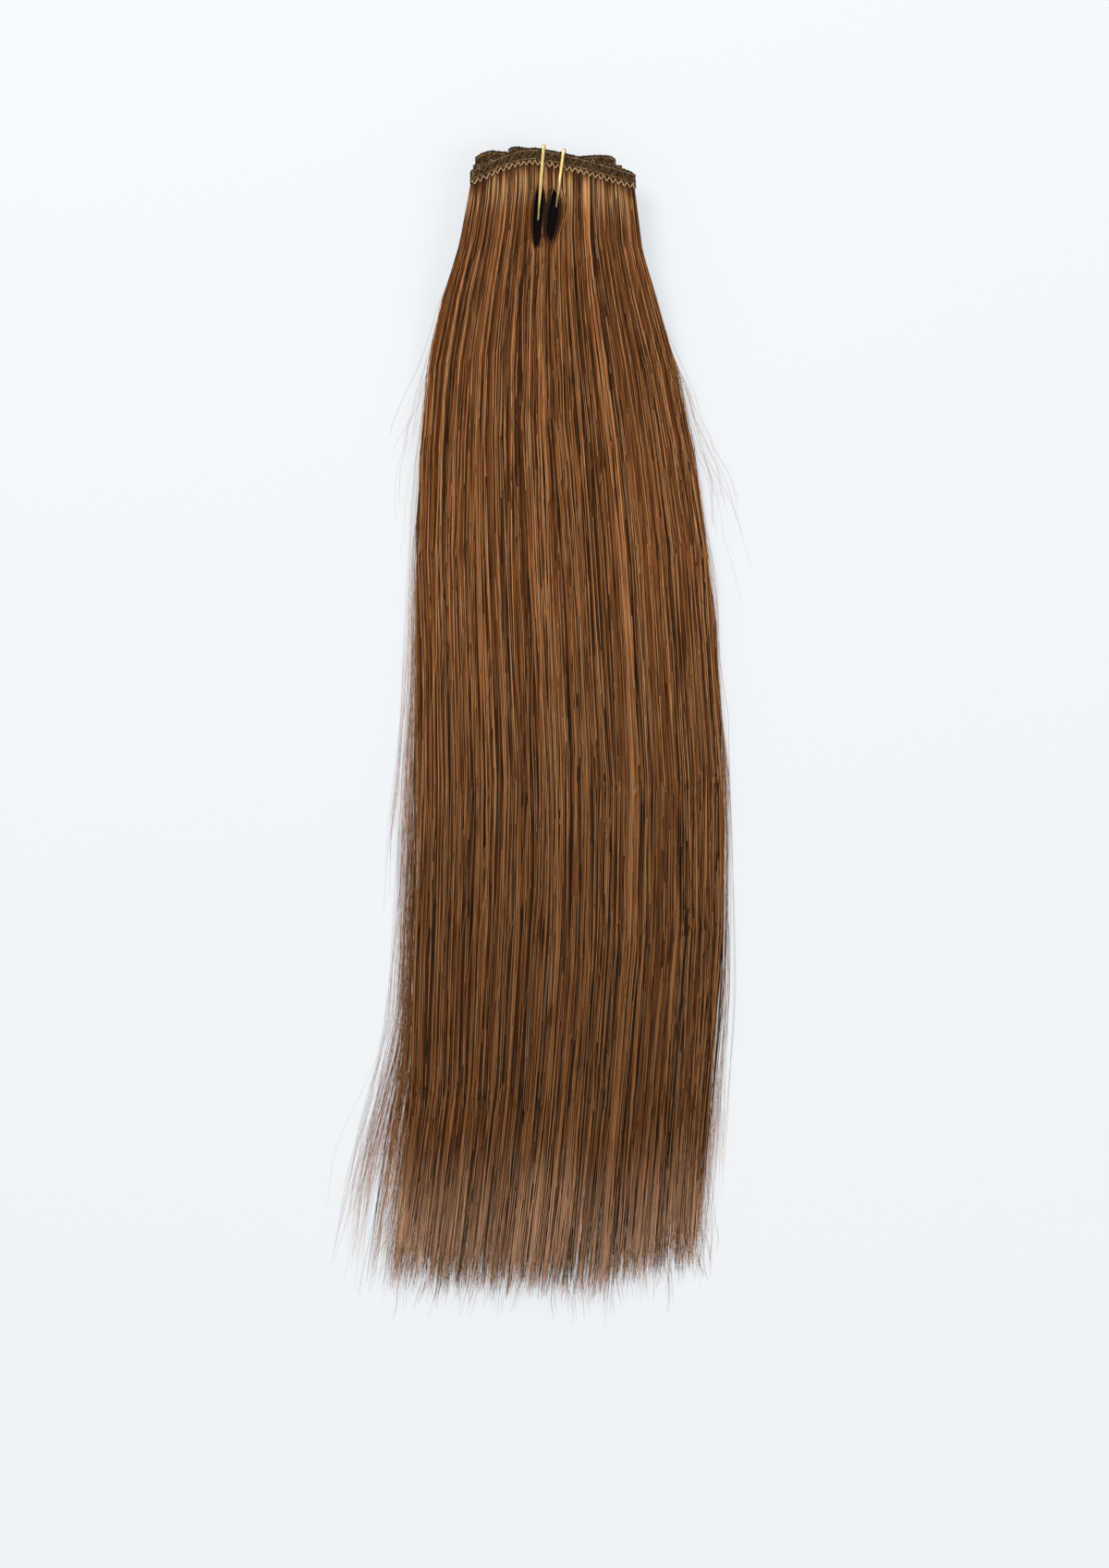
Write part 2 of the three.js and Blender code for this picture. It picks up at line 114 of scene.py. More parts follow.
class Net:
    def __init__(self, tree):
        self.tree = tree

    def node(self, kind, settings=None, sockets=None, output=None):
        made = self.tree.nodes.new(kind)
        for key, value in (settings or {}).items():
            setattr(made, key, value)
        for key, value in (sockets or {}).items():
            self.feed(self.pick(made.inputs, key), value)
        return Value(self, self.pick(made.outputs, output))

    def pick(self, sockets, key):
        # a place, a name or an identifier; None is the first socket in use
        if isinstance(key, int):
            return sockets[key]
        return next(s for s in sockets if s.enabled and key in (None, s.name, s.identifier))

    def feed(self, socket, value):
        if isinstance(value, Value):
            self.tree.links.new(value.socket, socket)
        else:
            socket.default_value = value

    def fill(self, shader, values):
        for name, value in values.items():
            self.feed(shader.inputs[name], value)

    def maths(self, operation, *values):
        return self.node("ShaderNodeMath", {"operation": operation}, dict(enumerate(values)))

    def clamp(self, value, low, high):
        return self.maths("MINIMUM", self.maths("MAXIMUM", value, low), high)

    def smooth(self, value, low, high):
        sockets = {"Value": value, "From Min": low, "From Max": high}
        return self.node("ShaderNodeMapRange", {"interpolation_type": "SMOOTHSTEP"}, sockets)

    def blend(self, a, b, share):
        return a + (b - a) * share

    def vector(self, x=0, y=0, z=0):
        return self.node("ShaderNodeCombineXYZ", sockets={"X": x, "Y": y, "Z": z})

    def parts(self, vector):
        split = self.node("ShaderNodeSeparateXYZ", sockets={0: vector})
        outputs = split.socket.node.outputs
        return [Value(self, outputs[i]) for i in range(3)]

    def noise(self, vector, scale=1, detail=0, roughness=0.5):
        sockets = {"Vector": vector, "Scale": scale, "Detail": detail, "Roughness": roughness}
        return self.node("ShaderNodeTexNoise", sockets=sockets)

    def colour(self, first, second, share, mode="MIX"):
        settings = {"data_type": "RGBA", "blend_type": mode}
        sockets = {0: share, 6: first, 7: second}
        return self.node("ShaderNodeMix", settings, sockets)

    def grain(self, scale, detail=1, roughness=0.5):
        # noise in the object's own space, stretched along its axes
        place = self.node("ShaderNodeTexCoord", output="Object")
        stretched = self.node("ShaderNodeMapping", sockets={"Vector": place, "Scale": scale})
        return self.noise(stretched, 1, detail, roughness)

    def ramp(self, stops, share):
        made = self.node("ShaderNodeValToRGB", sockets={"Fac": share})
        elements = made.socket.node.color_ramp.elements
        while len(elements) < len(stops):
            elements.new(0.5)
        for element, (place, colour) in zip(elements, stops):
            element.position = place
            element.color = (*colour, 1)
        return made

    def read(self, name):
        return self.node("ShaderNodeAttribute", {"attribute_name": name}, output="Fac")

    def attribute(self, name, kind="FLOAT"):
        return self.node("GeometryNodeInputNamedAttribute", {"data_type": kind}, {"Name": name})

    def random(self, salt, ids, low=0.0, high=1.0):
        sockets = {"Min": low, "Max": high, "ID": ids, "Seed": salt}
        return self.node("FunctionNodeRandomValue", {"data_type": "FLOAT"}, sockets)

    def sample(self, surface, value, kind, spot):
        lay = self.attribute("lay", "FLOAT_VECTOR")
        sockets = {"Mesh": surface, "Value": value, "Source UV Map": lay, "Sample UV": spot}
        return self.node("GeometryNodeSampleUVSurface", {"data_type": kind}, sockets)

    def store(self, geometry, name, value, kind="FLOAT", domain="POINT"):
        settings = {"data_type": kind, "domain": domain}
        sockets = {"Geometry": geometry, "Name": name, "Value": value}
        return self.node("GeometryNodeStoreNamedAttribute", settings, sockets)

def newTree(name, examples):
    # one named input for each of the example values, of the value's own kind
    kinds = {int: "NodeSocketInt", float: "NodeSocketFloat"}
    tree = bpy.data.node_groups.new(name, "GeometryNodeTree")
    tree.interface.new_socket("Geometry", in_out="INPUT", socket_type="NodeSocketGeometry")
    for label, value in examples.items():
        kind = kinds.get(type(value), "NodeSocketMaterial")
        tree.interface.new_socket(label, in_out="INPUT", socket_type=kind)
    tree.interface.new_socket("Geometry", in_out="OUTPUT", socket_type="NodeSocketGeometry")
    net = Net(tree)
    entry = tree.nodes.new("NodeGroupInput")
    given = {s.name: Value(net, s) for s in entry.outputs if s.name}
    return net, given

def sticks(net, count, steps):
    # straight curves to be moved into place, with each one's number and each step's share of the way
    points = net.node("GeometryNodePoints", sockets={"Count": count})
    line = net.node("GeometryNodeCurvePrimitiveLine")
    stick = net.node("GeometryNodeResampleCurve", sockets={"Curve": line, "Count": steps})
    many = net.node("GeometryNodeInstanceOnPoints", sockets={"Points": points, "Instance": stick})
    curves = net.node("GeometryNodeRealizeInstances", sockets={"Geometry": many})
    number = net.node("GeometryNodeCurveOfPoint", output="Curve Index")
    return curves, number, net.node("GeometryNodeSplineParameter", output="Factor")

def tubeOn(net, curve, sides, size):
    # a tube round a curve, with the share of the way round it
    circle = net.node("GeometryNodeCurvePrimitiveCircle", sockets={"Resolution": sides, "Radius": 1.0})
    kept = net.tree.nodes.new("GeometryNodeCaptureAttribute")
    kept.capture_items.new("FLOAT", "turned")
    net.feed(kept.inputs["Geometry"], circle)
    net.feed(kept.inputs["turned"], net.node("GeometryNodeSplineParameter", output="Factor"))
    ring = Value(net, kept.outputs["Geometry"])
    sockets = {"Curve": curve, "Profile Curve": ring, "Scale": size, "Fill Caps": True}
    return net.node("GeometryNodeCurveToMesh", sockets=sockets), Value(net, kept.outputs["turned"])

def closeTree(net, tube, mapSpot, material):
    mapped = net.store(tube, "OFBake", mapSpot, "FLOAT2", "CORNER")
    smooth = net.node("GeometryNodeSetShadeSmooth", sockets={"Geometry": mapped})
    real = net.node("GeometryNodeRealizeInstances", sockets={"Geometry": smooth})
    dressed = net.node("GeometryNodeSetMaterial", sockets={"Geometry": real, "Material": material})
    out = net.tree.nodes.new("NodeGroupOutput")
    net.tree.links.new(dressed.socket, out.inputs[0])
    return net.tree

def grow(name, guideMesh, tree, values):
    # runs a tree on a guide and keeps the result as a plain mesh object
    holder = newObject(name + "Guide", guideMesh)
    modifier = holder.modifiers.new("grow", "NODES")
    modifier.node_group = tree
    for item in tree.interface.items_tree:
        if item.in_out == "INPUT" and item.name in values:
            modifier[item.identifier] = values[item.name]
    graph = bpy.context.evaluated_depsgraph_get()
    mesh = bpy.data.meshes.new_from_object(holder.evaluated_get(graph), depsgraph=graph)
    holder.modifiers.remove(modifier)
    bpy.data.objects.remove(holder)
    mesh.name = name
    return newObject(name, mesh)

def triangles(body):
    return sum(len(p.vertices) - 2 for p in body.data.polygons)

def addPiece(name, points, faces, material):
    mesh = bpy.data.meshes.new(name)
    mesh.from_pydata([tuple(p) for p in points], [], faces)
    mesh.materials.append(material)
    mesh.polygons.foreach_set("use_smooth", [True] * len(faces))
    return newObject(name, mesh)

def sweep(name, rings, material):
    # skins rings of points of one size and caps both ends
    size = len(rings[0])
    count = len(rings)
    faces = []
    for j in range(count - 1):
        for i in range(size):
            a, b = j * size, (j + 1) * size
            faces.append((a + i, a + (i + 1) % size, b + (i + 1) % size, b + i))
    faces.append(tuple(range(size)))
    faces.append(tuple(range((count - 1) * size, count * size)))
    made = addPiece(name, [p for ring in rings for p in ring], faces, material)
    outward(made.data)
    return made

def outward(mesh):
    # turns every face's normal out of the closed form
    work = bmesh.new()
    work.from_mesh(mesh)
    bmesh.ops.recalc_face_normals(work, faces=work.faces)
    work.to_mesh(mesh)
    work.free()

def bakeSpots(mesh, low, high, columns):
    # a plain grid of small squares, one for each face, in a strip of the bake's map
    uv = mesh.uv_layers.new(name="OFBake")
    rows = math.ceil(len(mesh.polygons) / columns)
    for face in mesh.polygons:
        column, row = face.index % columns, face.index // columns
        for k, loop in enumerate(face.loop_indices):
            turn = 2 * math.pi * (k + 0.5) / face.loop_total
            u = (column + 0.5 + 0.45 * math.cos(turn)) / columns
            v = (row + 0.5 + 0.45 * math.sin(turn)) / rows
            uv.data[loop].uv = (u, low + (high - low) * v)

def newMaterial(name):
    material = bpy.data.materials.new(name)
    material.use_nodes = True
    net = Net(material.node_tree)
    shader = material.node_tree.nodes["Principled BSDF"]
    return material, net, shader

def join(objects, name):
    bpy.ops.object.select_all(action="DESELECT")
    for piece in objects:
        piece.select_set(True)
    bpy.context.view_layer.objects.active = objects[0]
    bpy.ops.object.join()
    objects[0].name = name
    return objects[0]

# What the frame says about a piece, read with rays
def surfaceOf(node):
    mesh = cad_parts[node].data
    points = [v.co for v in mesh.vertices]
    return BVHTree.FromPolygons(points, [tuple(p.vertices) for p in mesh.polygons])

def hit(surface, start, way):
    return surface.ray_cast(Vector(start), Vector(way))[0]

# Bands: a strip folded once at its right end. run goes from 0 at the front's left end, round the fold,
# to 1 at the back's left end, across from 0 at the lower edge to 1 at the upper one.
class Band:
    def __init__(self, layer):
        node = layer + "_band"
        surface = surfaceOf(node)
        self.low, self.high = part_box(node)
        self.radius = (self.high.z - self.low.z) / 2
        self.middle = (self.high.z + self.low.z) / 2
        self.left = self.low.x
        self.foldX = self.high.x - self.radius
        self.straight = self.foldX - self.left
        self.length = 2 * self.straight + math.pi * self.radius
        self.xs = np.linspace(self.left + 2e-4, self.foldX - 2e-4, 40)
        z = self.high.z - 5e-4
        hits = [hit(surface, (x, self.low.y - 0.01, z), (0, 1, 0)) for x in self.xs]
        tops = [hit(surface, (x, self.high.y + 0.01, z), (0, -1, 0)) for x in self.xs]
        self.edges = np.array([p.y for p in hits])
        self.height = float(np.mean([t.y - p.y for t, p in zip(tops, hits)]))

    def edge(self, x):
        # the lower edge, which keeps on falling round the fold
        return float(np.interp(x, self.xs, self.edges)) + min(0, self.foldX - x) * 0.35

    def point(self, run, across, out):
        way = run * self.length
        if way < self.straight:
            x, turn = self.left + way, 0
        elif way > self.length - self.straight:
            x, turn = self.left + self.length - way, math.pi
        else:
            x, turn = self.foldX, (way - self.straight) / self.radius
        reach = self.radius + out
        x += math.sin(turn) * reach
        z = self.middle + math.cos(turn) * reach
        return Vector((x, self.edge(x) + across * self.height, z))

bands = {layer: Band(layer) for layer in ("front", "second", "third", "back")}

# Hair guides: a sheet over the top of each weft's hair, with the hair's depth under it
guideSize = {
    "columns": 44,
    "rows": 64,
    "topBias": 1.8,        # packs the rows towards the band
    "solidShare": 0.88,    # of the length, above the locks' tips
    "tuck": 2.5e-3,        # how far the strands start inside the band
    "overhang": 3.5e-3,    # how far the longest strands reach past the solid locks
    "rightIn": 9e-3,       # how far the right edge bends in below the solid share
    "rightBend": 1.7,      # and how late it does
    "flare": 0.5,          # the share of the edges' slopes that goes on below the solid share
    "belowBand": 1.2e-3,   # where the hair's own edges start, below the band's lower edge
    "rootHalf": 5e-4,      # half the hair's thickness inside the band
    "rimInset": 4e-4,      # how far inside the edges the rays fall
    "hollowShare": 0.12,   # of the length, within which the pin's hollows are closed
    "lowest": 3e-4,        # the least height above the surface underneath
}

def guideFor(layer):
    band = bands[layer]
    surface = surfaceOf(layer + "_hair")
    low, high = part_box(layer + "_hair")
    bottom = low.y - guideSize["overhang"]
    heights = np.linspace(low.z + 2e-4, high.z - 2e-4, 24)

    def edgeAt(y, side):
        # from far outside straight in, at several heights
        hits = [hit(surface, (side * 0.3, y, z), (-side, 0, 0)) for z in heights]
        xs = [p.x for p in hits if p]
        return max(xs, key=lambda x: x * side)

    top = band.high.y
    joinY = min(band.edges) - guideSize["belowBand"]
    solidY = top + (bottom - top) * guideSize["solidShare"]
    sampleYs = np.linspace(joinY, solidY, 60)
    lefts = np.array([edgeAt(y, -1) for y in sampleYs])
    rights = np.array([edgeAt(y, 1) for y in sampleYs])

    def edges(y):
        below = max(0, solidY - y)
        past = below * guideSize["flare"]
        slopes = [(e[-1] - e[-8]) / (sampleYs[-8] - sampleYs[-1]) for e in (lefts, rights)]
        left = np.interp(-y, -sampleYs, lefts) + slopes[0] * past
        right = np.interp(-y, -sampleYs, rights) + slopes[1] * past
        right -= guideSize["rightIn"] * (below / (solidY - bottom)) ** guideSize["rightBend"]
        return left, right

    columns, rows = guideSize["columns"], guideSize["rows"]
    us = np.linspace(0, 1, columns + 1)
    vs = np.linspace(0, 1, rows + 1) ** guideSize["topBias"]
    xyz = np.zeros((rows + 1, columns + 1, 3))
    under = np.full((rows + 1, columns + 1), np.nan)
    xyz[:, :, 2] = np.nan
    topLeft, topRight = edges(joinY)
    for i, u in enumerate(us):
        startX = topLeft + (topRight - topLeft) * u
        startY = band.edge(min(max(startX, band.left), band.foldX)) + guideSize["tuck"]
        for j, v in enumerate(vs):
            y = startY + (bottom - startY) * v
            left, right = edges(min(y, joinY))
            x = left + (right - left) * u
            inset = guideSize["rimInset"] * (1 - 2 * u)
            if y > band.edge(x) - 6e-4:
                z, floor = band.middle + guideSize["rootHalf"], band.middle - guideSize["rootHalf"]
            else:
                above = hit(surface, (x + inset, y, 0.1), (0, 0, -1))
                below = hit(surface, (x + inset, y, -0.1), (0, 0, 1))
                z = above.z if above else np.nan
                floor = below.z if below else np.nan
            xyz[j, i] = (x, y, z)
            under[j, i] = floor
    # rows with few hits, at the locks' tips, go on as the rows above them do
    for grid in (xyz[:, :, 2], under):
        for j in range(rows + 1):
            known = ~np.isnan(grid[j])
            if known.sum() > columns // 2 and vs[j] < guideSize["solidShare"]:
                grid[j] = np.interp(us, us[known], grid[j][known])
            else:
                grid[j] = grid[j - 1] + (grid[j - 1] - grid[j - 2]) * 0.8
    # closes the hollows round the pin, which the strands part round by themselves
    raw = xyz[:, :, 2].copy()
    for j in np.where(vs < guideSize["hollowShare"])[0]:
        padded = np.pad(raw[j], 3, mode="edge")
        raw[j] = np.max([padded[k:k + columns + 1] for k in range(7)], axis=0)
    # the solid locks' ridges are softened more across, because the strands bring their own relief
    for turn in range(9):
        if turn < 3:
            raw[1:-1] = (raw[:-2] + 2 * raw[1:-1] + raw[2:]) / 4
        raw[:, 1:-1] = (raw[:, :-2] + 2 * raw[:, 1:-1] + raw[:, 2:]) / 4
    xyz[:, :, 2] = np.maximum(raw, guideSize["lowest"])
    return us, vs, xyz, np.maximum(under, 1e-4)

def gridFaces(rows, columns, start=0, flip=False):
    faces = []
    for j in range(rows):
        for i in range(columns):
            a = start + j * (columns + 1) + i
            quad = (a, a + columns + 1, a + columns + 2, a + 1)
            faces.append(quad[::-1] if flip else quad)
    return faces

def guideMesh(layer, guide):
    us, vs, xyz, under = guide
    mesh = bpy.data.meshes.new(layer + "Lay")
    faces = gridFaces(len(vs) - 1, len(us) - 1)
    mesh.from_pydata(xyz.reshape(-1, 3).tolist(), [], faces)
    layMap(mesh, [(u, v) for v in vs for u in us])
    depth = mesh.attributes.new("depth", "FLOAT", "POINT")
    depth.data.foreach_set("value", (xyz[:, :, 2] - under).ravel())
    return mesh

def layMap(mesh, spots):
    lay = mesh.uv_layers.new(name="lay")
    for loop in mesh.loops:
        lay.data[loop.index].uv = spots[loop.vertex_index]

guides = {layer: guideFor(layer) for layer in bands}
print("guides done")

# Hair: strands on the guides, gathered into locks, parted round the pin's tips. Each layer is grown in
# runs from one share of its width to another, with finer steps at the pin.
hair = {
    "front": {
        "Seed": 29, "Depth to": 0.42, "Left in": 0.045,
        "runs": [
            {"To": 0.34, "Strands": 630, "Steps": 13},
            {"From": 0.34, "To": 0.58, "Strands": 430, "Steps": 31, "Pack": 1.5, "Near steps": 0.4,
             "Near reach": 0.1},
            {"From": 0.58, "Strands": 750, "Steps": 13},
        ],
    },
    "second": {"Seed": 23, "Depth to": 0.9, "Left in": 0.04, "Thin left": 0.02, "runs": [{"Strands": 1500}]},
    "third": {"Seed": 37, "Depth to": 0.95, "Left in": 0.035, "Thin left": 0.04, "runs": [{"Strands": 1200}]},
    "back": {
        "Seed": 41, "Depth from": 0.1, "Depth to": 0.98, "Thin left": 0.4, "Left in": 0.02,
        "runs": [{"Strands": 1700, "Steps": 16}],
    },
}
# where the pin's tips part the hair: x at the middle, slope, the ends' y from the stack's top edge,
# half width
pinLow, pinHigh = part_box("hair_pin")
hollows = [
    {"x": pinLow.x + 0.5e-3, "slope": 0.07, "top": -17e-3, "bottom": -45e-3, "half": 2.5e-3},
    {"x": pinLow.x + 7.0e-3, "slope": 0.12, "top": -20e-3, "bottom": -43e-3, "half": 2.9e-3},
]
for hollow in hollows:
    hollow["middleY"] = stackTop + (hollow["top"] + hollow["bottom"]) / 2
    hollow["halfLong"] = (hollow["top"] - hollow["bottom"]) / 2

def strandTree():
    examples = {"Strands": 1, "Seed": 0, "Lock seed": 0, "Map low": 0.0, "Map high": 1.0}
    net, given = newTree("strands", dict(plainStrand, **examples))
    curves, strand, along = sticks(net, given["Strands"], given["Steps"])
    seed = given["Seed"]

    def chance(salt, low=0.0, high=1.0):
        return net.random(seed + salt, strand, low, high)

    # the steps are packed towards the band: some share of them over the nearest share of the length
    near = given["Near steps"]
    reach = net.maths("MINIMUM", along / near, 1) * given["Near reach"]
    rest = net.clamp((along - near) / (1.0 - near), 0, 1)
    reach = reach + net.maths("POWER", rest, given["Pack"]) * (1.0 - given["Near reach"])
    across = net.blend(given["From"], given["To"], (strand + chance(1)) / given["Strands"])
    lock = net.maths("FLOOR", across * given["Locks"] + chance(2, -0.35, 0.35))
    lockSeed = given["Lock seed"]
    lockTone = net.random(lockSeed + 3, lock)
    bunch = net.maths("FLOOR", across * given["Bunches"] + chance(2, -0.12, 0.12))
    jag = net.random(lockSeed + 4, net.maths("FLOOR", lock * 0.3)) * 0.4 + net.random(5, bunch) * 0.6
    start = given["Start"] + given["Start spread"] * chance(5)
    shorter = net.smooth(across, 0.72, 1.0) * given["Short right"]
    thinner = (1.0 - net.smooth(across, 0.05, 0.2)) * given["Thin left"] * net.smooth(chance(15), 0.15, 0.6)
    end = given["End"] - given["End spread"] * chance(6) ** 0.55 - given["Jag"] * jag - shorter - thinner
    down = net.blend(start, end, reach)
    gathered = net.smooth(down, 0.05, 0.9) * given["Gather"]
    u = net.blend(across, (lock + 0.5) / given["Locks"], gathered)
    bunched = net.smooth(down, 0.84, 0.975) * given["Bunch"] * net.random(10, bunch, 0.35, 1.0)
    u = net.blend(u, (bunch + 0.5) / given["Bunches"], bunched)
    ordered = net.clamp(across * given["Tufts"] + chance(16, -0.15, 0.15), 0.01, given["Tufts"] - 0.01)
    tuft = net.maths("FLOOR", ordered)
    centre = (tuft + net.random(lockSeed + 6, tuft, 0.25, 0.75)) / given["Tufts"]
    hold = 1.0 - net.smooth(down, 0.0, net.random(lockSeed + 7, tuft, 0.025, 0.075))
    u = net.blend(u, centre, hold * net.random(lockSeed + 8, tuft, 0.25, 1.0) * given["Tuft pull"])
    drift = (net.noise(net.vector(across * 5, down * 2.2, lockSeed), 1, 1) - 0.5) * net.smooth(down, 0.0, 0.2)
    u = u + drift * given["Wander"] + (chance(7) - 0.5) * given["Cross"] * down * (1.0 - bunched)
    sway = net.noise(net.vector(strand * 0.73, down * 3.5, seed), 1, 0) - 0.5
    u = u + sway * given["Waver"] * net.smooth(down, 0.01, 0.12) * (1.0 - bunched)
    kink = net.noise(net.vector(strand * 0.91, down * 18, seed + 3), 1, 0) - 0.5
    u = u + kink * given["Waver"] * 0.5 * net.smooth(down, 0.005, 0.06) * (1.0 - net.smooth(down, 0.25, 0.5))
    u = u + (1.0 - u) * given["Left in"] * net.smooth(down, 0.25, 0.65) * (1.0 - net.smooth(down, 0.6, 1.05))
    u = u + (0.5 - u) * chance(18) * given["Soft edge"] * net.smooth(down, 0.08, 0.5)
    inside = net.clamp(u, 0.002, 0.998)
    spot = net.vector(inside, net.clamp(down, 0.0005, 0.9995), 0)
    surface = given["Geometry"]
    place = net.sample(surface, net.node("GeometryNodeInputPosition"), "FLOAT_VECTOR", spot)
    thick = net.sample(surface, net.attribute("depth"), "FLOAT", spot)
    x, y, z = net.parts(place)
    x = x + (u - inside) * 0.14
    level = net.blend(given["Depth from"], given["Depth to"], chance(8))
    relief = (net.noise(net.vector(across * 42, down * 4, lockSeed + 9), 1, 0) - 0.5) * given["Relief"]
    z = z - thick * level + relief * net.smooth(down, 0.0, 0.05)

    # strays leave the surface sideways, up and past the tips
    loose = net.maths("POWER", reach, given["Stray power"])
    side = net.maths("SIGN", across - 0.5)
    bend = net.noise(net.vector(strand * 0.37, reach * 2, seed + 5), 1, 0) - 0.5
    x = x + loose * given["Stray"] * (side * chance(10) + bend * 0.9)
    y = y - loose * given["Drop"] * chance(11)
    z = z + net.maths("SINE", reach * math.pi) * given["Lift"] * chance(12)
    z = net.maths("MAXIMUM", z * (1.0 - loose * given["Settle"]), 4e-4)

    # a strand stays on the side of a hollow where it starts
    rootSpot = net.vector(net.clamp(across, 0.002, 0.998), 0.05, 0)
    position = net.node("GeometryNodeInputPosition")
    rootX = net.parts(net.sample(surface, position, "FLOAT_VECTOR", rootSpot))[0]
    parted = 0
    shadow = 0
    for hollow in hollows:
        below = y - hollow["middleY"]
        share = below / hollow["halfLong"]
        arch = net.maths("SQRT", net.clamp(1 - share * share, 0, 1))
        width = arch * hollow["half"] * chance(17, 0.72, 1.22)
        rootOff = rootX - hollow["x"]
        side = net.maths("SIGN", rootOff)
        off = (x - (hollow["x"] + below * hollow["slope"])) * side
        push = width + net.maths("ABSOLUTE", rootOff) * 0.5 - off
        push = net.clamp(push, 0, width * 2)
        parted = side * push + parted
        wide = (off + push) / (hollow["half"] * 2.1)
        shadow = shadow + 1 - net.smooth(wide * wide + share * share * 0.6, 0.2, 0.85)
    x = x + parted

    # stored while the sticks are straight, because bending them changes how far along a step is
    lane = net.noise(net.vector(inside * 110, down * 2.5, lockSeed + 2), 1, 2, 0.6) - 0.5
    rim = net.smooth(net.maths("ABSOLUTE", across - 0.5), 0.475, 0.5) * 0.3 * down
    mixed = chance(13) + lockTone * 0.08 - 0.06 + lane * 0.12 + given["Pale"] + rim
    mixed = mixed - net.clamp(shadow, 0, 1) * 0.5
    slim = net.blend(given["Tip radius"], 1.0, net.smooth(1.0 - reach, 0.0, 0.06))
    size = given["Radius"] * chance(14, 0.7, 1.45) * slim
    kept = {"tone": mixed, "down": down, "reach": reach, "strand": strand, "runs": along, "size": size}
    named = curves
    for name, value in kept.items():
        named = net.store(named, name, value)
    spots = net.vector(x, y, z)
    placed = net.node("GeometryNodeSetPosition", sockets={"Geometry": named, "Position": spots})
    upright = net.node("GeometryNodeSetCurveNormal", {"mode": "Z_UP"}, {"Curve": placed})
    tube, turned = tubeOn(net, upright, given["Sides"], net.attribute("size"))
    # a map for the bake: one upright strip for each strand
    inRow = net.maths("CEIL", given["Strands"] / given["Map rows"])
    strandIn = net.attribute("strand")
    row = net.maths("FLOOR", strandIn / inRow)
    mapU = (net.maths("FLOORED_MODULO", strandIn, inRow) + 0.2 + turned * 0.9) / inRow
    mapV = (row + 0.01 + net.attribute("runs") * 0.98) / given["Map rows"]
    mapV = net.blend(given["Map low"], given["Map high"], mapV)
    return closeTree(net, tube, net.vector(mapU, mapV, 0), given["Material"])

def hairMaterial():
    material, net, shader = newMaterial("copperHair")
    tone, down, reach = [net.read(name) for name in ("tone", "down", "reach")]
    fine = net.grain((900, 30, 600))
    darker = net.smooth(down, 0.3, 0.8)
    shade = net.clamp((tone - 0.5) * (1.15 + darker * 0.6) + 0.5 + (fine - 0.5) * 0.45, 0, 1)
    colour = net.ramp([
        (0.0, (0.007, 0.002, 0.001)),
        (0.2, (0.030, 0.008, 0.002)),
        (0.42, (0.105, 0.027, 0.004)),
        (0.62, (0.200, 0.061, 0.011)),
        (0.8, (0.300, 0.108, 0.027)),
        (1.0, (0.515, 0.248, 0.100)),
    ], shade)
    colour = net.colour(colour, (0.56, 0.485, 0.38, 1), darker, "MULTIPLY")
    patchy = net.grain((430, 22, 30), 1, 0.6)
    ragged = down + (patchy - 0.5) * 0.03
    # painted shade: the strands darken where they come out from under the band
    shadeUnderBand = (1.0 - net.smooth(ragged, 0.002, 0.016)) * 0.75
    colour = net.colour(colour, (0.034, 0.012, 0.003, 1), shadeUnderBand)
    # painted highlight: a light gold sheen a little below the band, strongest on the lighter strands
    paintedSheen = net.smooth(ragged, 0.008, 0.020) * (1.0 - net.smooth(ragged, 0.022, 0.050)) * (shade ** 2 * 1.2)
    paintedSheen = paintedSheen * net.smooth(patchy, 0.28, 0.62)
    colour = net.colour(colour, (0.68, 0.39, 0.17, 1), net.clamp(paintedSheen, 0, 0.85))
    # paler towards the tips: painted light, for light passing through the thin ends
    tips = net.smooth(reach, 0.87, 1.01) * net.smooth(down, 0.5, 0.9) * (shade * 1.4)
    colour = net.colour(colour, (0.66, 0.365, 0.21, 1), net.clamp(tips, 0, 0.95))
    net.fill(shader, {
        "Base Color": colour, "Roughness": 0.34 + fine * 0.2, "Specular IOR Level": 0.26,
        "Specular Tint": (1.0, 0.74, 0.48, 1),
    })
    return material

def coreShadeMaterial():
    # the hair's inside, coloured near black: painted shade deep among the strands
    material, net, shader = newMaterial("hairCoreShade")
    fine = net.grain((1500, 14, 600), 2, 0.6)
    broad = net.grain((170, 6, 90))
    # painted shade, darker near the band and in the pin's hollows
    paintedShade = net.read("paintedShade")
    shade = net.clamp(fine * 0.9 + (broad - 0.5) * 0.6 - paintedShade * 0.8, 0, 1)
    colour = net.ramp([
        (0.2, (0.004, 0.002, 0.0015)),
        (0.5, (0.045, 0.015, 0.005)),
        (0.75, (0.120, 0.045, 0.014)),
    ], shade)
    bump = net.node("ShaderNodeBump", sockets={"Strength": 0.6, "Distance": 4e-4, "Height": fine})
    net.fill(shader, {
        "Base Color": colour, "Roughness": 0.8, "Specular IOR Level": 0.05, "Normal": bump,
    })
    return material

copperHair = hairMaterial()
hairCoreShade = coreShadeMaterial()

core = {
    "end": 0.87,         # share of the hair's length
    "inset": 0.012,      # share of the half width, at both edges
    "edge": 3.2e-3,      # how far inside the front hair it stays
    "leftIn": 8e-3,      # and further in lower down
    "rightIn": 8e-3,
    "sink": 0.32,        # shares of the hair's depth above and below it
    "rise": 0.1,
    "hollowSink": 0.4,   # share of its own depth that goes in a hollow
}

def hollowShare(x, y):
    # 1 in the middle of a hollow, 0 outside it and its soft edge
    share = np.zeros_like(x)
    for hollow in hollows:
        below = y - hollow["middleY"]
        aside = (x - (hollow["x"] + below * hollow["slope"])) / (hollow["half"] * 1.5)
        far = aside ** 2 + (below / (hollow["halfLong"] * 1.1)) ** 2
        share = np.maximum(share, np.clip(1 - far, 0, 1))
    return share

